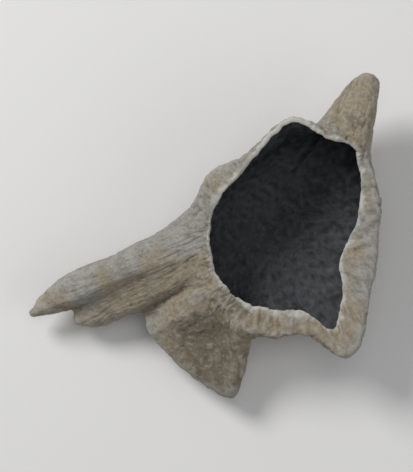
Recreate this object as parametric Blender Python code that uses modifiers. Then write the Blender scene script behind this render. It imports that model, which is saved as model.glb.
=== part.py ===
"""One dried wood ear mushroom: a thin leathery sheet that grew from a small foot as a cup.

Drying drew its margin in, so the edge rolls over into the cup as a lip, the sheet puckered into
pleats, and the left side is pulled out into a long horn with a hooked tip. It grew as one piece,
so it is one solid. Metres, +Z up. The origin is the centre of the flat cut through the foot,
which the ear rests on, and the longest way across it is along X.
"""

from typing import NamedTuple

import bmesh
import bpy
from mathutils import Vector

MM = 0.001

SHEET_THICKNESS = 1.0 * MM  # where the sheet leaves the foot
MARGIN_SHARE = 0.75  # of that thickness, at the margin
PLEAT_DEPTH = 0.3 * MM  # how far the wall falls in between two folds

FOOT_RADIUS = 3.1 * MM  # of the flat cut
FOOT_TOP_RADIUS = 3.9 * MM
FOOT_HEIGHT = 1.8 * MM
FLOOR_Z = 1.5 * MM  # the middle of the sheet, over the foot

FLOOR_STATIONS = ((0.3, 0.1), (0.62, 0.28), (0.9, 0.62))  # out to the belly, and up to it
WALL_STATIONS = (0.34, 0.67)
LIP_STATIONS = ((0.55, 0.2), (1.0, 1.0))  # inwards and down, as shares of the lip


class Fold(NamedTuple):
    """One radial strip of the sheet, in metres, seen from above with the foot at 0, 0."""

    belly: Vector  # where the wall bulges furthest out
    mouth: Vector  # where the wall turns over into the lip
    lip: Vector  # how far the margin rolls in over the cup, and how far it then drops
    steep: float  # 1 stands up, then turns in; 0 slopes evenly; below 0 spreads, then climbs


def fold(belly, mouth, lip, steep):
    return Fold(Vector(belly) * MM, Vector(mouth) * MM, Vector(lip) * MM, steep)


FOLDS = (
    # right wall, set back under the widest part of the lip
    fold(belly=(11.6, -7.5, 5.0), mouth=(11.8, -7.7, 9.5), lip=(3.4, 0.3), steep=0.8),
    fold(belly=(12.1, -2.5, 5.0), mouth=(12.4, -2.4, 10.0), lip=(3.3, 0.3), steep=0.8),
    fold(belly=(12.5, 2.9, 5.2), mouth=(12.9, 2.9, 10.5), lip=(2.1, 0.2), steep=0.8),
    # the small pinched flap at the upper right
    fold(belly=(11.6, 8.6, 5.8), mouth=(11.5, 8.0, 11.0), lip=(1.0, 0.0), steep=0.8),
    fold(belly=(13.2, 16.9, 8.6), mouth=(11.0, 9.5, 11.4), lip=(0.9, -0.2), steep=0.2),
    fold(belly=(10.8, 16.4, 8.6), mouth=(9.8, 10.2, 11.6), lip=(0.8, -0.3), steep=0.2),
    fold(belly=(6.7, 11.1, 6.0), mouth=(7.4, 10.6, 12.0), lip=(0.4, -0.8), steep=1),
    # the far rim, which leans out as it rises to its peak
    fold(belly=(3.4, 10.8, 5.8), mouth=(3.5, 12.0, 12.6), lip=(0.2, -1.0), steep=1),
    fold(belly=(0.0, 8.0, 5.4), mouth=(-0.2, 8.3, 11.6), lip=(0.4, -0.8), steep=0.9),
    fold(belly=(-4.1, 5.4, 5.0), mouth=(-4.1, 5.4, 10.8), lip=(1.8, -0.1), steep=0.8),
    # the horn: along its upper edge, round its hooked tip, and back along its lower edge
    fold(belly=(-8.2, 1.2, 4.8), mouth=(-5.2, 3.0, 10.3), lip=(0.8, -0.2), steep=0.7),
    fold(belly=(-14.6, -2.2, 4.4), mouth=(-5.2, 1.6, 10.1), lip=(0.7, -0.3), steep=0.4),
    fold(belly=(-20.8, -4.6, 4.2), mouth=(-5.2, 0.3, 10.0), lip=(0.7, -0.3), steep=0.3),
    fold(belly=(-24.6, -8.6, 3.2), mouth=(-5.2, -0.8, 9.9), lip=(0.7, -0.3), steep=0.2),
    fold(belly=(-19.4, -7.4, 3.2), mouth=(-5.2, -1.5, 9.8), lip=(0.7, -0.3), steep=0.1),
    fold(belly=(-19.4, -9.3, 3.0), mouth=(-5.1, -2.2, 9.7), lip=(0.7, -0.2), steep=-0.1),
    fold(belly=(-16.2, -9.4, 3.2), mouth=(-5.0, -3.1, 9.5), lip=(0.8, -0.1), steep=-0.1),
    fold(belly=(-12.3, -7.7, 3.2), mouth=(-4.8, -4.2, 9.3), lip=(1.0, 0.1), steep=-0.2),
    # a ridge, then the lower left panel, which spreads outwards from under the lip
    fold(belly=(-11.0, -10.4, 4.0), mouth=(-4.3, -5.6, 9.2), lip=(1.3, 0.2), steep=0.1),
    fold(belly=(-7.6, -13.8, 3.6), mouth=(-3.7, -6.8, 9.1), lip=(1.6, 0.3), steep=-0.3),
    fold(belly=(-1.8, -17.6, 3.8), mouth=(-2.8, -7.9, 9.0), lip=(2.0, 0.3), steep=-0.3),
    fold(belly=(-0.4, -10.4, 4.2), mouth=(-1.0, -9.4, 9.0), lip=(2.5, 0.3), steep=0.8),
    # near wall, set back under an even lip, and its corner
    fold(belly=(2.4, -10.0, 4.4), mouth=(2.3, -10.4, 9.0), lip=(2.7, 0.2), steep=0.8),
    fold(belly=(6.0, -9.6, 4.8), mouth=(5.9, -9.9, 8.9), lip=(2.3, 0.2), steep=0.8),
    fold(belly=(9.7, -12.2, 5.0), mouth=(9.8, -12.5, 9.3), lip=(2.8, 0.4), steep=0.8),
)
MOUTH_CENTRE = Vector((3.6, -0.6, 0)) * MM


def halfway(before, first, second, after):
    """The fold midway between two, on a smooth curve through four in a row."""

    def mid(name):
        a, b, c, d = (getattr(one, name) for one in (before, first, second, after))
        return (b + c) * 0.5625 - (a + d) * 0.0625

    return Fold(mid("belly"), mid("mouth"), mid("lip"), mid("steep"))


def outwards(one):
    """Level direction from the middle of the mouth to this part of its rim."""
    return (one.mouth - MOUTH_CENTRE).xy.normalized().to_3d()


def floor_spots(one, inset):
    """The sheet leaves the foot almost level, and turns up as it nears the belly."""
    start = outwards(one) * FOOT_RADIUS + Vector((0, 0, FLOOR_Z))
    spots = [start]
    for out, up in FLOOR_STATIONS:
        spot = start.lerp(one.belly, out) - inset * out
        spot.z = start.z + (one.belly.z - start.z) * up
        spots.append(spot)
    return spots


def wall_spots(one, inset):
    """From the belly up and in to the mouth."""
    spots = []
    for along in (0, *WALL_STATIONS, 1):
        inwards = along ** (1 + one.steep)
        upwards = 1 - (1 - along) ** (1 + 0.6 * one.steep)
        spot = one.belly.lerp(one.mouth, inwards) - inset * (1 - along)
        spot.z = one.belly.z + (one.mouth.z - one.belly.z) * upwards
        spots.append(spot)
    return spots


def lip_spots(one):
    """Over the crest of the mouth to the margin."""
    inwards, down = -outwards(one) * one.lip.x, Vector((0, 0, -one.lip.y))
    return [one.mouth + inwards * across + down * drop for across, drop in LIP_STATIONS]


def column_of(one, pleat):
    """Cage points of one fold, from the foot to the margin."""
    inset = outwards(one) * pleat
    return floor_spots(one, inset) + wall_spots(one, inset) + lip_spots(one)


def cage_columns():
    """Every fold as a ridge, with a valley halfway to the next."""
    columns = []
    for index, one in enumerate(FOLDS):
        before, following, after = (FOLDS[(index + step) % len(FOLDS)] for step in (-1, 1, 2))
        columns.append(column_of(one, 0))
        columns.append(column_of(halfway(before, one, following, after), PLEAT_DEPTH))
    return columns


def cage_mesh(name, columns):
    """The coarse sheet: a strip of faces between each pair of columns, and a fan over the foot."""
    sheet = bmesh.new()
    verts = [[sheet.verts.new(spot) for spot in column] for column in columns]
    centre = sheet.verts.new((0, 0, FLOOR_Z))
    for column, following in zip(verts, verts[1:] + verts[:1], strict=True):
        sheet.faces.new((centre, column[0], following[0]))
        for row in range(len(column) - 1):
            sheet.faces.new((column[row], column[row + 1], following[row + 1], following[row]))
    bmesh.ops.recalc_face_normals(sheet, faces=sheet.faces)
    mesh = bpy.data.meshes.new(name)
    sheet.to_mesh(mesh)
    sheet.free()
    return mesh


def thin_towards_margin(sheet, columns):
    """Vertex weights that thin the sheet evenly from the foot to the margin."""
    group = sheet.vertex_groups.new(name="thickness")
    stations = len(columns[0])
    for index in range(len(sheet.data.vertices)):
        along = (index % stations) / (stations - 1)
        group.add([index], 1 - (1 - MARGIN_SHARE) * along, "REPLACE")
    return group.name


def collection(name):
    made = bpy.data.collections.new(name)
    bpy.context.scene.collection.children.link(made)
    return made


def ear_skin():
    material = bpy.data.materials.new("ear_skin")
    material.use_nodes = True
    shader = material.node_tree.nodes["Principled BSDF"]
    shader.inputs["Base Color"].default_value = (0.19, 0.17, 0.13, 1)
    shader.inputs["Roughness"].default_value = 0.8
    shader.inputs["Metallic"].default_value = 0
    return material


def foot(helpers):
    """The stump of the foot, cut flat at z = 0, which is joined to the sheet."""
    mesh = bpy.data.meshes.new("foot")
    stump = bmesh.new()
    bmesh.ops.create_cone(
        stump,
        cap_ends=True,
        segments=28,
        radius1=FOOT_RADIUS,
        radius2=FOOT_TOP_RADIUS,
        depth=FOOT_HEIGHT,
    )
    stump.to_mesh(mesh)
    stump.free()
    made = bpy.data.objects.new("foot", mesh)
    made.location.z = FOOT_HEIGHT / 2
    made.hide_render = True
    made.display_type = "WIRE"
    helpers.objects.link(made)
    return made


def ear(parts, helpers):
    """The whole ear: the smoothed sheet, given its thickness and joined to the foot."""
    columns = cage_columns()
    sheet = bpy.data.objects.new("ear", cage_mesh("ear", columns))
    parts.objects.link(sheet)
    sheet.data.materials.append(ear_skin())
    smooth = sheet.modifiers.new("smooth", "SUBSURF")
    smooth.levels = smooth.render_levels = 1
    thicken = sheet.modifiers.new("thicken", "SOLIDIFY")
    thicken.thickness = SHEET_THICKNESS
    thicken.offset = 0
    thicken.vertex_group = thin_towards_margin(sheet, columns)
    join = sheet.modifiers.new("join_foot", "BOOLEAN")
    join.operation = "UNION"
    join.object = foot(helpers)
    sheet.data.shade_smooth()


def main():
    for old in list(bpy.data.objects):
        bpy.data.objects.remove(old)
    ear(collection("wood_ear"), collection("helpers"))


main()
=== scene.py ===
"""Looks for one dried wood ear mushroom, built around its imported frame.

The sheet follows the same folds as the solid. Here it is sampled finely and buckled, puckered and
wrinkled as it dried: black and satin inside the cup, pale and felted outside, thin at the margin.
"""

import math

import bpy
import numpy as np
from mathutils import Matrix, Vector, noise


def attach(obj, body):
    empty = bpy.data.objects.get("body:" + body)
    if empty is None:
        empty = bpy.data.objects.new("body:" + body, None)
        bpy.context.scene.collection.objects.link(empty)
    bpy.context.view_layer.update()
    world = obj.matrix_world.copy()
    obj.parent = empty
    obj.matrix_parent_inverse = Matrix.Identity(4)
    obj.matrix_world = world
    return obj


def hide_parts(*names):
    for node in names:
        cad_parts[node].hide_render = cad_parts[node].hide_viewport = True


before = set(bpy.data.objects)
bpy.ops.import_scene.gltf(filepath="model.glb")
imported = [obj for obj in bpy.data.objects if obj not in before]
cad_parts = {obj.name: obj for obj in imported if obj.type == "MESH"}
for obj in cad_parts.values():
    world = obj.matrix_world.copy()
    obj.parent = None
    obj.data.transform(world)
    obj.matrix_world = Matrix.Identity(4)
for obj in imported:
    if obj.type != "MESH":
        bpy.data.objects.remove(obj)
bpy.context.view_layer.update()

# --- The sheet's folds, in millimetres, seen from above with the foot at 0, 0 -----------------
# Each has its belly x, y, z; its mouth x, y, z; its lip's run in and drop; how steep its wall is, as
# in the solid; and how brown its felt is drawn, partly its own tint and partly painted shade on the
# sides that face away from the light.
FOLDS = np.array(
    [
        # right wall, set back under the widest part of the lip
        (11.6, -7.5, 5.0, 11.8, -7.7, 9.5, 3.4, 0.3, 0.8, 0.3),
        (12.1, -2.5, 5.0, 12.4, -2.4, 10.0, 3.3, 0.3, 0.8, 0.25),
        (12.5, 2.9, 5.2, 12.9, 2.9, 10.5, 2.1, 0.2, 0.8, 0.2),
        # the small pinched flap at the upper right
        (11.6, 8.6, 5.8, 11.5, 8.0, 11.0, 1.0, 0.0, 0.8, 0.3),
        (13.2, 16.9, 8.6, 11.0, 9.5, 11.4, 0.9, -0.2, 0.2, 0.6),
        (10.8, 16.4, 8.6, 9.8, 10.2, 11.6, 0.8, -0.3, 0.2, 0.6),
        (6.7, 11.1, 6.0, 7.4, 10.6, 12.0, 0.4, -0.8, 1.0, 0.3),
        # the far rim, which leans out as it rises to its peak; the last row is its curled left
        # end, which stands about 1 mm prouder than in the solid
        (3.4, 10.8, 5.8, 3.5, 12.0, 12.6, 0.2, -1.0, 1.0, 0.1),
        (0.0, 8.0, 5.4, -0.2, 8.3, 11.6, 0.4, -0.8, 0.9, 0.1),
        (-4.1, 5.4, 5.0, -5.1, 6.1, 11.3, 2.6, -0.1, 0.8, 0.2),
        # the horn: along its upper edge, round its hooked tip, and back along its lower edge
        (-8.2, 1.2, 4.8, -4.9, 2.9, 10.2, 0.7, -0.2, 0.7, 0.0),
        (-14.6, -2.2, 4.4, -5.2, 1.6, 10.1, 0.7, -0.3, 0.4, 0.0),
        (-20.8, -4.6, 4.2, -5.2, 0.3, 10.0, 0.7, -0.3, 0.3, 0.1),
        (-24.6, -8.6, 3.2, -5.2, -0.8, 9.9, 0.7, -0.3, 0.2, 0.3),
        (-19.4, -7.4, 3.2, -5.2, -1.5, 9.8, 0.7, -0.3, 0.1, 0.5),
        (-19.4, -9.3, 3.0, -5.1, -2.2, 9.7, 0.7, -0.2, -0.1, 0.6),
        (-16.2, -9.4, 3.2, -5.0, -3.1, 9.5, 0.8, -0.1, -0.1, 0.65),
        (-12.3, -7.7, 3.2, -4.8, -4.2, 9.3, 1.0, 0.1, -0.2, 0.5),
        # a ridge, then the lower left panel, which spreads outwards from under the lip
        (-11.0, -10.4, 4.0, -4.3, -5.6, 9.2, 1.3, 0.2, 0.1, 0.25),
        (-7.6, -13.8, 3.6, -3.7, -6.8, 9.1, 1.6, 0.3, -0.3, 1.0),
        (-1.8, -17.6, 3.8, -2.8, -7.9, 9.0, 2.0, 0.3, -0.3, 1.0),
        (-0.4, -10.4, 4.2, -1.0, -9.4, 9.0, 2.5, 0.3, 0.8, 0.6),
        # near wall, set back under an even lip, and its corner
        (2.4, -10.0, 4.4, 2.3, -10.4, 9.0, 2.7, 0.2, 0.8, 0.5),
        (6.0, -9.6, 4.8, 5.9, -9.9, 8.9, 2.3, 0.2, 0.8, 0.5),
        (9.7, -12.2, 5.0, 9.8, -12.5, 9.3, 2.8, 0.4, 0.8, 0.4),
    ]
)
MOUTH_CENTRE = np.array((3.6, -0.6))
PLEAT_DEPTH = 0.3  # how far the wall falls in between two folds
CREASE = 0.35  # across the folds: 0 rounds them, 1 leaves them sharp
CREST = 0.22  # how far the turn from the wall into the lip is rounded, as a share of what it joins
WANDER = 0.3  # how far a crease strays, as a share of the gap to the next
FOOT_RADIUS = 3.1
FLOOR_Z = 1.5  # the middle of the sheet, over the foot
FLOOR_STATIONS = ((0.3, 0.1), (0.62, 0.28), (0.9, 0.62))  # out to the belly, and up to it
WALL_STATIONS = (0.0, 0.34, 0.67, 1.0)  # up from the belly to the mouth
LIP_STATIONS = ((0.55, 0.2), (1.0, 1.0))  # inwards and down, as shares of the lip
MOUTH_ROW = 1 + len(FLOOR_STATIONS) + len(WALL_STATIONS)

# --- How finely it is sampled: columns round the ear, and rows along each column ----------------
AROUND = 560
OUTER_ROWS = 76
INNER_ROWS = 76
EDGE_ROWS = 6
NECK = (0.0, 0.12, 0.28, 0.48, 0.72)  # shares of the way from the cut to the sheet
CUT = (0.35, 0.7, 0.92)  # rings across the flat cut, as shares of its radius

MM = 0.001

# --- The sheet, in millimetres: its thickness, and how far drying bent and wrinkled it ---------
SHEET_THICKNESS = 0.95  # where it leaves the foot
MARGIN_THICKNESS = 0.5
BUCKLE = 0.3  # broad bends of the whole sheet
PLEAT = 0.16  # pleats that run out from the foot
CRUMPLE = 0.1  # creases that run every way
WAVER = 0.3  # the margin, up and down
RIPPLE = 0.28  # the margin, in and out
RIB, GROOVE, CRINKLE, NET, GRAIN = 0.07, 0.14, 0.09, 0.1, 0.03  # on the felted face
TUCK, VEIN, WRINKLE = 0.05, 0.09, 0.08  # on the black face


def cage():
    """Control points, columns by rows, and how brown each column is drawn, partly painted shade.

    Every fold is a ridge, with a valley halfway to the next.
    """
    near = FOLDS + np.roll(FOLDS, -1, 0)
    far = np.roll(FOLDS, 1, 0) + np.roll(FOLDS, -2, 0)
    folds = np.stack([FOLDS, near * 0.5625 - far * 0.0625], 1).reshape(-1, FOLDS.shape[1])
    belly, mouth = folds[:, :3], folds[:, 3:6]
    lip_in, lip_down, steep = folds[:, 6:7], folds[:, 7:8], folds[:, 8:9]
    out = np.zeros_like(mouth)
    out[:, :2] = mouth[:, :2] - MOUTH_CENTRE
    out /= np.linalg.norm(out, axis=1, keepdims=True)
    inset = out * np.tile((0.0, PLEAT_DEPTH), len(FOLDS))[:, None]
    up = np.array((0.0, 0.0, 1.0))

    start = out * FOOT_RADIUS + up * FLOOR_Z
    rows = [np.zeros_like(start) + up * FLOOR_Z, start]
    for reach, rise in FLOOR_STATIONS:
        spot = start + (belly - start) * reach - inset * reach
        spot[:, 2] = start[:, 2] + (belly[:, 2] - start[:, 2]) * rise
        rows.append(spot)
    for along in WALL_STATIONS:
        spot = belly + (mouth - belly) * along ** (1 + steep) - inset * (1 - along)
        climbed = 1 - (1 - along) ** (1 + 0.6 * steep[:, 0])
        spot[:, 2] = belly[:, 2] + (mouth[:, 2] - belly[:, 2]) * climbed
        rows.append(spot)
    lip = [mouth - out * lip_in * inwards - up * lip_down * down for inwards, down in LIP_STATIONS]
    before_crest = mouth + (rows[-2] - mouth) * CREST
    after_crest = mouth + (lip[0] - mouth) * CREST
    rows[-1:] = [before_crest, after_crest, *lip]
    return np.stack(rows, 1), folds[:, 9]


def spline_weights(at, count, closed):
    """Matrix that turns control points into points of a uniform cubic B-spline."""
    whole = np.floor(at).astype(int)
    if not closed:
        whole = np.minimum(whole, count - 2)
    t = at - whole
    basis = (
        (1 - t) ** 3 / 6,
        (3 * t**3 - 6 * t**2 + 4) / 6,
        (-3 * t**3 + 3 * t**2 + 3 * t + 1) / 6,
        t**3 / 6,
    )
    weights = np.zeros((len(at), count))
    lines = np.arange(len(at))
    for step, share in zip((-1, 0, 1, 2), basis, strict=True):
        spot = whole + step
        if closed:
            np.add.at(weights, (lines, spot % count), share)
            continue
        inside = (spot >= 0) & (spot < count)
        np.add.at(weights, (lines[inside], spot[inside]), share[inside])
        # past an end, the control points run on in a straight line
        before, after = spot < 0, spot >= count
        np.add.at(weights, (lines[before], 0), 2 * share[before])
        np.add.at(weights, (lines[before], 1), -share[before])
        np.add.at(weights, (lines[after], count - 1), 2 * share[after])
        np.add.at(weights, (lines[after], count - 2), -share[after])
    return weights


def spread(points, count, start):
    """Row positions evenly spaced along the mean meridian, from the control row start outwards."""
    fine = np.linspace(start, points.shape[1] - 1, 400)
    meridians = np.einsum("rc,ack->ark", spline_weights(fine, points.shape[1], False), points)
    steps = np.linalg.norm(np.diff(meridians, axis=1), axis=2).mean(0)
    length = np.concatenate([(0.0,), np.cumsum(steps)])
    return np.interp(np.linspace(0, length[-1], count), length, fine)


def noise_at(spots, octaves=3, seed=0.0):
    """Fractal noise, about -1 to 1, at an array of points."""
    flat = (spots.reshape(-1, 3) + seed).tolist()
    made = [noise.fractal(spot, 1.0, 2.0, octaves) for spot in flat]
    return np.array(made).reshape(spots.shape[:-1])


def ring_spots(around, along, cycles, stretch):
    """Where to read noise so that it closes around the ear and runs out along its meridians."""
    radius = cycles / math.tau
    angle = around * math.tau
    return np.stack([np.cos(angle) * radius, np.sin(angle) * radius, along * stretch], -1)


def blurred(grid, around, along):
    """The grid averaged over this many columns and rows to each side. It closes round the ear."""
    for axis, reach in ((0, around), (1, along)):
        count = grid.shape[axis]
        spots = np.arange(-reach, count + reach)
        spots = np.clip(spots, 0, count - 1) if axis else spots % count
        total = np.cumsum(np.insert(np.take(grid, spots, axis), 0, 0, axis), axis)
        span = 2 * reach + 1
        ends = np.take(total, np.arange(count) + span, axis)
        grid = (ends - np.take(total, np.arange(count), axis)) / span
    return grid


def unit(vectors):
    return vectors / np.maximum(np.linalg.norm(vectors, axis=-1, keepdims=True), 1e-9)


def normals_of(grid, around=0, along=0):
    """Unit normals of a grid of points that closes along its first axis, outwards of the cup.

    They are averaged over this many columns and rows to each side.
    """
    normal = unit(np.cross(np.roll(grid, -1, 0) - np.roll(grid, 1, 0), np.gradient(grid, axis=1)))
    return unit(blurred(normal, around, along))


def smoothstep(low, high, value):
    share = np.clip((value - low) / (high - low), 0, 1)
    return share * share * (3 - 2 * share)


def straight_weights(at, count):
    """Matrix that joins control points by straight lines, round a closed row of them."""
    whole = np.minimum(np.floor(at), count - 1).astype(int)
    weights = np.zeros((len(at), count))
    lines = np.arange(len(at))
    weights[lines, whole] = 1 - (at - whole)
    weights[lines, (whole + 1) % count] += at - whole
    return weights


def shifted(grid, by):
    """The grid slid round the ear by a number of columns at each point, so that creases wander."""
    column = np.arange(grid.shape[0])[:, None] + by
    whole = np.floor(column).astype(int)
    part = (column - whole)[..., None]
    row = np.arange(grid.shape[1])[None]
    first, second = grid[whole % grid.shape[0], row], grid[(whole + 1) % grid.shape[0], row]
    return first * (1 - part) + second * part


def ridged(value):
    """Noise folded over, so that it rises to sharp ridges, about -0.5 to 0.5."""
    return 0.5 - 2 * np.abs(value)


def grooved(value, width):
    """Noise turned into a net of narrow grooves, 0 to -1 deep."""
    return -np.exp(-((value / width) ** 2))


def round_the_mouth(grid):
    """Each column's place round the mouth, 0 to 1, so that noise is not squeezed where folds crowd."""
    steps = np.linalg.norm(np.diff(grid, axis=0, append=grid[:1]), axis=1)
    return np.concatenate([(0.0,), np.cumsum(steps)[:-1]]) / steps.sum()


def middle_sheet(rows):
    """The sheet's middle surface at these row positions, buckled as it dried."""
    points = cage()[0]
    columns, stations = points.shape[:2]
    at = np.arange(AROUND) / AROUND * columns
    rounded, straight = spline_weights(at, columns, True), straight_weights(at, columns)
    meridians = np.einsum("rb,cbk->crk", spline_weights(rows, stations, False), points)
    creased = CREASE * (1 - smoothstep(MOUTH_ROW - 1, MOUTH_ROW + 0.5, rows))[:, None]
    grid = np.einsum("ac,crk->ark", rounded, meridians)
    grid += creased * (np.einsum("ac,crk->ark", straight, meridians) - grid)
    mouth = rounded @ points[:, MOUTH_ROW]
    u, v = np.meshgrid(round_the_mouth(mouth), rows / (stations - 1), indexing="ij")
    grid = shifted(grid, WANDER * noise_at(ring_spots(u, v, 9, 4.0), 2, 61.0) * AROUND / columns)

    normal = normals_of(grid, 5, 5)
    reach = smoothstep(0.15, 0.6, v) * (1 - 0.6 * smoothstep(0.78, 0.9, v))
    broad = noise_at(grid * 0.13, 2, 11.7)
    pleats = ridged(noise_at(ring_spots(u, v, 15, 1.2), 2, 3.1))
    crumple = ridged(noise_at(grid * 0.3, 2, 23.3))
    buckle = reach * (BUCKLE * broad + PLEAT * pleats + CRUMPLE * crumple)
    grid = grid + normal * buckle[..., None]

    # the margin runs in and out, and up and down
    margin = smoothstep(0.84, 1.0, v)
    waver = noise_at(ring_spots(u, v * 0, 14, 0), 4, 5.9)
    inwards = MOUTH_CENTRE - grid[..., :2]
    inwards /= np.linalg.norm(inwards, axis=2, keepdims=True)
    ripple = noise_at(ring_spots(u, v * 0, 20, 0), 4, 9.2)
    grid[..., :2] += inwards * (margin * RIPPLE * ripple)[..., None]
    grid[..., 2] += margin * WAVER * waver
    return grid, u, v


def sharpest_bend(grid, normal):
    """How sharply, per mm, each point and those beside it bend away from the outer face."""
    sharpest = np.zeros(grid.shape[:2])
    for axis in (0, 1):
        if axis:
            step, turn = np.gradient(grid, axis=1), np.gradient(normal, axis=1)
        else:
            step = np.roll(grid, -1, 0) - np.roll(grid, 1, 0)
            turn = np.roll(normal, -1, 0) - np.roll(normal, 1, 0)
        bend = (step * turn).sum(2) / np.maximum((step * step).sum(2), 1e-6)
        sharpest = np.maximum(sharpest, bend)
    for axis in (0, 1):
        beside = [np.roll(sharpest, by, axis) for by in (-2, -1, 0, 1, 2)]
        sharpest = np.max(beside, 0)
    return sharpest


def half_thickness(v):
    return 0.5 * (SHEET_THICKNESS + (MARGIN_THICKNESS - SHEET_THICKNESS) * v)


def felt_relief(grid, u, v):
    """Height of the outer face's ribs, grooves, crinkles and grain."""
    ribs = ridged(noise_at(ring_spots(u, v, 60, 5.0), 3, 41.0))
    grooves = grooved(noise_at(ring_spots(u, v, 24, 4.0), 3, 31.0), 0.07)
    crinkle = ridged(noise_at(grid * 0.8, 4, 7.7))
    net = grooved(noise_at(grid * 0.5, 3, 37.0), 0.05)
    grain = noise_at(grid * 3.0, 2, 19.0)
    outwards = (RIB * ribs + GROOVE * grooves) * smoothstep(0.2, 0.5, v)
    return outwards + CRINKLE * crinkle + NET * net + GRAIN * grain


def skin_relief(grid, u, v):
    """Height of the inner face's tucks, veins and wrinkles."""
    tucks = noise_at(ring_spots(u, v, 40, 5.0), 2, 53.0) * smoothstep(0.4, 0.8, v)
    veins = ridged(noise_at(grid * 0.55, 3, 17.0))
    wrinkle = noise_at(grid * 1.6, 3, 29.0)
    return TUCK * tucks + VEIN * veins + WRINKLE * wrinkle


def rounded_edge(outer, inner, ahead):
    """Rows that round the margin over, from the last outer row to the last inner one."""
    side, centre = (outer - inner) * 0.5, (outer + inner) * 0.5
    width = np.linalg.norm(side, axis=1, keepdims=True)
    rows = []
    for step in range(1, EDGE_ROWS):
        turn = math.pi * step / EDGE_ROWS
        across = math.copysign(abs(math.cos(turn)) ** 0.7, math.cos(turn))
        rows.append(centre + side * across + ahead * width * 0.7 * math.sin(turn))
    return np.stack(rows, 1)


def foot_rows(join, u):
    """The flat cut through the foot, and the neck that flares from it into the sheet."""
    waver = noise_at(ring_spots(u, u * 0, 9, 0), 3, 71.0)
    rim = unit(join * (1, 1, 0)) * (FOOT_RADIUS - 0.1 + 0.35 * waver)[:, None]
    rows = [rim * share for share in CUT]
    for share in NECK:
        spot = rim + (join - rim) * share**1.3
        spot[:, 2] = join[:, 2] * (1 - (1 - share) ** 2)
        rows.append(spot)
    return np.stack(rows, 1)


def build_rows():
    """Every ring of the closed surface, from the cut, up the outside, and down the inside.

    With them come whether each ring is outside, 0, or inside, 1, and how far each point lies from
    the margin along its meridian, in millimetres.
    """
    points = cage()[0]
    outer_mid, u_out, v_out = middle_sheet(spread(points, OUTER_ROWS, 1.35))
    inner_mid, u_in, v_in = middle_sheet(spread(points, INNER_ROWS, 0.25))
    outer_normal, inner_normal = normals_of(outer_mid, 1, 2), normals_of(inner_mid, 1, 2)

    height = half_thickness(v_out) + felt_relief(outer_mid, u_out, v_out)
    outer = outer_mid + outer_normal * height[..., None]
    # in a sharp bend the inner face stays short of where it would cross itself
    room = blurred(0.6 / np.maximum(sharpest_bend(inner_mid, inner_normal), 0.1), 2, 2)
    depth = np.minimum(half_thickness(v_in) + skin_relief(inner_mid, u_in, v_in), room)
    inner = inner_mid - inner_normal * depth[..., None]

    ahead = unit(outer_mid[:, -1] - outer_mid[:, -3])
    edge = rounded_edge(outer[:, -1], inner[:, -1], ahead)
    foot = foot_rows(outer[:, 0], u_out[:, 0])
    rows = np.concatenate([foot, outer, edge, inner[:, ::-1]], 1)

    outside = foot.shape[1] + OUTER_ROWS
    turning = np.linspace(0, 1, EDGE_ROWS + 1)[1:-1]
    insides = np.concatenate([np.zeros(outside), turning, np.ones(INNER_ROWS)])
    steps = np.linalg.norm(np.diff(rows, axis=1), axis=2)
    travelled = np.insert(np.cumsum(steps, 1), 0, 0, 1)
    crest = outside + EDGE_ROWS // 2
    return rows, insides, np.abs(travelled - travelled[:, crest : crest + 1])


def height_over(rows, normal, around, along):
    """How far each point stands out from its surroundings, in millimetres."""
    smooth = blurred(blurred(rows, around, along), around, along)
    return ((rows - smooth) * normal).sum(2)


def ear_faces(columns, count):
    """Quads between neighbouring columns, and fans that close the cut and the floor of the cup."""
    column = np.arange(columns) * count
    following = np.roll(column, -1)
    line = np.arange(count - 1)
    first, second = (column[:, None] + line).ravel(), (following[:, None] + line).ravel()
    quads = np.stack([first, second, second + 1, first + 1], 1)
    bottom, top = columns * count, columns * count + 1
    cut = np.stack([np.full(columns, bottom), following, column], 1)
    middle = np.stack([np.full(columns, top), column + count - 1, following + count - 1], 1)
    return quads.tolist() + cut.tolist() + middle.tolist()


def store(mesh, name, values):
    """Keep one number for each point, for the materials. The two middle points take a mean."""
    ends = (values[:, 0].mean(), values[:, -1].mean())
    attribute = mesh.attributes.new(name, "FLOAT", "POINT")
    attribute.data.foreach_set("value", np.append(values, ends).astype(np.float32))


def unwrap(mesh, rows):
    """Round the ear to the right, and up from the cut, over the margin, to the middle of the cup."""
    columns, count = rows.shape[:2]
    bottom, top = columns * count, columns * count + 1
    corners = np.empty(len(mesh.loops), np.int32)
    mesh.loops.foreach_get("vertex_index", corners)
    steps = np.linalg.norm(np.diff(rows, axis=1), axis=2).mean(0)
    height = np.insert(np.cumsum(steps), 0, 0) + steps[0]
    up = np.where(corners < bottom, height[corners % count] / (height[-1] + steps[-1]), 0.0)
    up[corners == top] = 1.0

    starts = np.empty(len(mesh.polygons), np.int32)
    mesh.polygons.foreach_get("loop_start", starts)
    sizes = np.diff(np.append(starts, len(corners)))
    each = np.arange(columns)
    face_column = np.repeat(np.concatenate([np.repeat(each, count - 1), each, each]), sizes)
    across = (corners // count).astype(float)
    across = np.where((face_column == columns - 1) & (across == 0), columns, across)
    across = np.where(corners >= bottom, face_column + 0.5, across)
    layer = mesh.uv_layers.new(name="OFBake")
    layer.uv.foreach_set("vector", np.stack([across / columns, up], 1).astype(np.float32).ravel())


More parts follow.
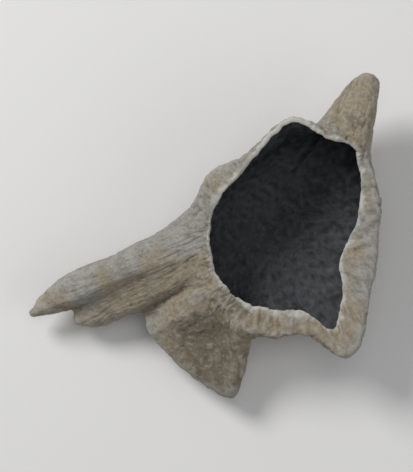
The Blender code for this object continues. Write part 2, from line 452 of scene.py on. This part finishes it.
def ear_mesh(name):
    rows, insides, to_margin = build_rows()
    columns, count = rows.shape[:2]
    middles = [(0, 0, 0), rows[:, -1].mean(0)]
    mesh = bpy.data.meshes.new(name)
    points = np.concatenate([rows.reshape(-1, 3), middles]) * MM
    mesh.from_pydata(points.tolist(), [], ear_faces(columns, count))

    normal = normals_of(rows)
    # how brown the felt is drawn, column by column: partly its own tint, partly painted shade on the
    # sides that face away from the light
    browns_and_shade = cage()[1]
    at = np.arange(columns) / columns * len(browns_and_shade)
    brown_and_shade = spline_weights(at, len(browns_and_shade), True) @ browns_and_shade
    from_foot = np.linalg.norm(rows[..., :2], axis=2)
    store(mesh, "brown_and_shade", np.repeat(brown_and_shade[:, None], count, 1))
    store(mesh, "foot", (1 - smoothstep(3.2, 7.0, from_foot)) * (insides == 0))
    store(mesh, "to_margin", to_margin)
    # heights over the surroundings; the materials turn these into painted highlights on ridges and
    # painted shade in creases and hollows
    store(mesh, "cavity", height_over(rows, normal, 2, 1))
    store(mesh, "broad_cavity", height_over(rows, normal, 14, 6))
    unwrap(mesh, rows)

    sheet = np.tile(insides[:-1] > 0.9, columns)
    skinned = np.concatenate([sheet, np.zeros(columns), np.ones(columns)])
    mesh.polygons.foreach_set("material_index", skinned.astype(np.int32))
    mesh.shade_smooth()
    return mesh


def flat_material(name, color, roughness):
    material = bpy.data.materials.new(name)
    material.use_nodes = True
    shader = material.node_tree.nodes["Principled BSDF"]
    shader.inputs["Base Color"].default_value = (*color, 1)
    shader.inputs["Roughness"].default_value = roughness
    return material


class Graph:
    """A material's nodes, added by name, with numbers, colours or other nodes' outputs as inputs."""

    def __init__(self, name, roughness, **constants):
        self.material = flat_material(name, (0.5, 0.5, 0.5), roughness)
        self.tree = self.material.node_tree
        self.shader = self.tree.nodes["Principled BSDF"]
        for socket, value in constants.items():
            self.shader.inputs[socket.replace("_", " ")].default_value = value
        self.places = self.add("ShaderNodeTexCoord").outputs["Object"]

    def add(self, kind, settings=None, **inputs):
        made = self.tree.nodes.new(kind)
        for key, value in (settings or {}).items():
            setattr(made, key, value)
        for key, value in inputs.items():
            self.put(made.inputs[key.replace("_", " ")], value)
        return made

    def put(self, socket, value):
        if isinstance(value, bpy.types.NodeSocket):
            self.tree.links.new(value, socket)
        elif hasattr(value, "__len__") and len(value) == 3 and socket.type == "RGBA":
            socket.default_value = (*value, 1)
        else:
            socket.default_value = value

    def maths(self, operation, first, second):
        made = self.add("ShaderNodeMath", {"operation": operation})
        self.put(made.inputs[0], first)
        self.put(made.inputs[1], second)
        return made.outputs[0]

    def ramp(self, value, low, high, to_low=0.0, to_high=1.0):
        """value between low and high, eased into to_low to to_high."""
        made = self.add("ShaderNodeMapRange", {"interpolation_type": "SMOOTHSTEP"})
        self.put(made.inputs["Value"], value)
        sockets = ("From Min", "From Max", "To Min", "To Max")
        for socket, number in zip(sockets, (low, high, to_low, to_high), strict=True):
            self.put(made.inputs[socket], number)
        return made.outputs["Result"]

    def noise(self, size, detail, places=None):
        """Noise whose features are about size metres across, from 0 to 1."""
        made = self.add(
            "ShaderNodeTexNoise",
            Vector=places or self.places,
            Scale=1 / size,
            Detail=detail,
            Roughness=0.55,
        )
        return made.outputs["Fac"]

    def mix(self, share, first, second):
        made = self.add("ShaderNodeMix", {"data_type": "RGBA"})
        self.put(made.inputs[0], share)
        self.put(made.inputs[6], first)
        self.put(made.inputs[7], second)
        return made.outputs[2]

    def attribute(self, name):
        return self.add("ShaderNodeAttribute", {"attribute_name": name}).outputs["Fac"]

    def streaks(self, across, along):
        """Noise drawn out along the meridians, from the unwrapped map."""
        unwrapped = self.add("ShaderNodeUVMap", {"uv_map": "OFBake"}).outputs["UV"]
        made = self.add("ShaderNodeMapping")
        self.put(made.inputs["Vector"], unwrapped)
        made.inputs["Scale"].default_value = (across, along, 1)
        return self.noise(1.0, 3.0, made.outputs[0])

    def bump(self, height, strength, distance, under=None):
        made = self.add("ShaderNodeBump", Strength=strength, Distance=distance, Height=height)
        if under is not None:
            self.put(made.inputs["Normal"], under)
        return made.outputs["Normal"]


# --- Colours -------------------------------------------------------------------------------
FELT_GREY = (0.27, 0.262, 0.235)
FELT_TAN = (0.27, 0.225, 0.155)
# brown, also used as painted shade in creases, hollows and on shaded sides
FELT_BROWN = (0.115, 0.096, 0.066)
# a paler felt, used only as painted highlight along the margin
FELT_MARGIN_HIGHLIGHT = (0.5, 0.49, 0.45)
# pale, also used as painted highlight on ridges
FELT_PALE = (0.4, 0.39, 0.35)
SKIN_BLACK = (0.032, 0.035, 0.038)
SKIN_WORN = (0.046, 0.05, 0.054)
# darker and greyer skin tones, also used as painted shade in hollows and painted highlight on ridges
SKIN_DARK_AND_SHADE = (0.018, 0.019, 0.021)
SKIN_GREY_AND_HIGHLIGHT = (0.065, 0.068, 0.072)

FLOOR_PAINT = (0.72, 0.71, 0.69)

# --- The stage, in metres ------------------------------------------------------------------
FLOOR_REACH = 0.6  # half the floor's width
EAR_MIDDLE = (0, 0, 0.004)
LIGHTS = (  # place, width, power in watts
    ("key", (-0.17, 0.15, 0.22), 0.12, 0.7),
    ("fill", (0.24, -0.1, 0.2), 0.3, 0.2),
    ("top", (0.02, 0.03, 0.3), 0.16, 0.12),
)
CAMERA_TARGET = Vector((-0.0047, 0.0002, 0.005))
CAMERA_ELEVATION = math.radians(88)
CAMERA_DISTANCE = 0.205


def felt():
    """The outside: a pale, very short felt, tan and brown by region, partly painted shade, with
    painted shade in its creases and hollows and painted highlights on its ridges and along its margin.
    """
    g = Graph("felt", 0.92, Sheen_Weight=0.08, Sheen_Roughness=0.4, Specular_IOR_Level=0.2)
    g.shader.inputs["Sheen Tint"].default_value = (0.95, 0.93, 0.88, 1)
    cavity, broad = g.attribute("cavity"), g.attribute("broad_cavity")
    mottle = g.noise(0.0013, 5.0)
    speckle = g.noise(0.00034, 3.0)
    fibre = g.noise(0.00015, 2.0)
    streak = g.streaks(60, 6)
    # brown and tan by region: partly the felt's own tint, partly painted shade on shaded sides such as
    # the lower left panel and the horn's lower side
    brown_and_shade = g.maths("ADD", g.attribute("brown_and_shade"), g.ramp(g.noise(0.005, 3.0), 0.3, 0.7, -0.3, 0.3))
    color = g.mix(g.ramp(brown_and_shade, 0.1, 0.5), FELT_GREY, FELT_TAN)
    color = g.mix(g.ramp(brown_and_shade, 0.45, 1.1, 0, 0.8), color, FELT_BROWN)
    color = g.mix(g.ramp(streak, 0.5, 0.8, 0, 0.3), color, FELT_TAN)
    color = g.mix(g.ramp(mottle, 0.5, 0.8, 0, 0.35), color, FELT_PALE)
    color = g.mix(g.ramp(mottle, 0.5, 0.2, 0, 0.3), color, FELT_BROWN)
    color = g.mix(g.ramp(speckle, 0.5, 0.75, 0, 0.4), color, FELT_PALE)
    color = g.mix(g.ramp(speckle, 0.5, 0.25, 0, 0.5), color, FELT_BROWN)
    color = g.mix(g.ramp(fibre, 0.5, 0.3, 0, 0.35), color, FELT_BROWN)
    # painted highlight on ridges, and painted shade darkening creases
    color = g.mix(g.ramp(cavity, 0.0, 0.1, 0, 0.4), color, FELT_PALE)
    color = g.mix(g.ramp(cavity, 0.0, -0.16, 0, 0.6), color, FELT_BROWN)
    # painted shade darkening broad hollows
    color = g.mix(g.ramp(broad, -0.1, -1.2, 0, 0.4), color, FELT_BROWN)
    # painted highlight: the felt drawn paler near the margin
    margin_highlight = g.maths("ADD", g.attribute("to_margin"), g.ramp(mottle, 0.3, 0.7, 0.5, -0.5))
    color = g.mix(g.ramp(margin_highlight, 1.1, 0.2, 0, 0.75), color, FELT_MARGIN_HIGHLIGHT)
    color = g.mix(g.ramp(g.attribute("foot"), 0.2, 1.0, 0, 0.6), color, FELT_BROWN)
    g.put(g.shader.inputs["Base Color"], color)
    g.put(g.shader.inputs["Roughness"], g.ramp(mottle, 0.3, 0.7, 0.96, 0.8))
    fine = g.bump(fibre, 0.4, 0.00008)
    g.put(g.shader.inputs["Normal"], g.bump(speckle, 0.5, 0.00012, fine))
    return g.material


def skin():
    """The inside: nearly black and satin, dulled where it is rubbed, pale at the very margin, with
    painted highlights on its ridges and painted shade in its hollows.
    """
    g = Graph("skin", 0.5, Specular_IOR_Level=0.3)
    cavity = g.attribute("cavity")
    patches = g.ramp(g.noise(0.0045, 4.0), 0.4, 0.65)
    mottle = g.noise(0.0009, 5.0)
    speckle = g.noise(0.0003, 3.0)
    color = g.mix(patches, SKIN_BLACK, SKIN_WORN)
    color = g.mix(g.ramp(mottle, 0.5, 0.75, 0, 0.8), color, SKIN_GREY_AND_HIGHLIGHT)
    color = g.mix(g.ramp(speckle, 0.5, 0.75, 0, 0.5), color, SKIN_GREY_AND_HIGHLIGHT)
    color = g.mix(g.ramp(speckle, 0.5, 0.25, 0, 0.5), color, SKIN_DARK_AND_SHADE)
    # painted highlight on ridges and painted shade in hollows
    color = g.mix(g.ramp(cavity, 0.0, 0.05, 0, 0.8), color, SKIN_GREY_AND_HIGHLIGHT)
    color = g.mix(g.ramp(cavity, 0.0, -0.05, 0, 0.8), color, SKIN_DARK_AND_SHADE)
    reach = g.maths("ADD", g.attribute("to_margin"), g.ramp(mottle, 0.3, 0.7, -0.3, 0.3))
    color = g.mix(g.ramp(reach, 0.5, 0.1), color, FELT_TAN)
    g.put(g.shader.inputs["Base Color"], color)
    g.put(g.shader.inputs["Roughness"], g.ramp(mottle, 0.3, 0.7, 0.55, 0.72))
    fine = g.bump(g.noise(0.00016, 2.0), 0.25, 0.00005)
    g.put(g.shader.inputs["Normal"], g.bump(speckle, 0.35, 0.0001, fine))
    return g.material


def link(obj):
    bpy.context.scene.collection.objects.link(obj)
    return obj


def add_ear():
    ear = link(bpy.data.objects.new("wood_ear", ear_mesh("wood_ear")))
    ear.data.materials.append(felt())
    ear.data.materials.append(skin())
    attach(ear, "root")
    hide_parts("ear")


def aim(obj, target):
    obj.rotation_euler = (Vector(target) - obj.location).to_track_quat("-Z", "Y").to_euler()


def area_light(name, place, size, power):
    data = bpy.data.lights.new(name, "AREA")
    data.shape = "DISK"
    data.size = size
    data.energy = power
    lamp = link(bpy.data.objects.new(name, data))
    lamp.location = place
    aim(lamp, EAR_MIDDLE)


def studio_world():
    """A weak, even, slightly blue light from all round."""
    world = bpy.data.worlds.new("studio")
    world.use_nodes = True
    background = world.node_tree.nodes["Background"]
    background.inputs["Color"].default_value = (0.9, 0.93, 1, 1)
    background.inputs["Strength"].default_value = 0.27
    return world


def add_stage():
    mesh = bpy.data.meshes.new("floor")
    corners = [(x * FLOOR_REACH, y * FLOOR_REACH, 0) for x, y in ((-1, -1), (1, -1), (1, 1), (-1, 1))]
    mesh.from_pydata(corners, [], [(0, 1, 2, 3)])
    floor = link(bpy.data.objects.new("floor", mesh))
    mesh.materials.append(flat_material("floor_paint", FLOOR_PAINT, 0.9))
    for light in LIGHTS:
        area_light(*light)
    bpy.context.scene.world = studio_world()


def add_camera():
    """A long lens, almost straight above the ear."""
    data = bpy.data.cameras.new("camera")
    data.lens = 150
    data.sensor_width = 36
    camera = link(bpy.data.objects.new("camera", data))
    away = Vector((0, -math.cos(CAMERA_ELEVATION), math.sin(CAMERA_ELEVATION)))
    camera.location = CAMERA_TARGET + away * CAMERA_DISTANCE
    aim(camera, CAMERA_TARGET)
    bpy.context.scene.camera = camera


add_ear()
add_stage()
add_camera()
bpy.context.scene.view_settings.view_transform = "Standard"  # keeps the black inside black
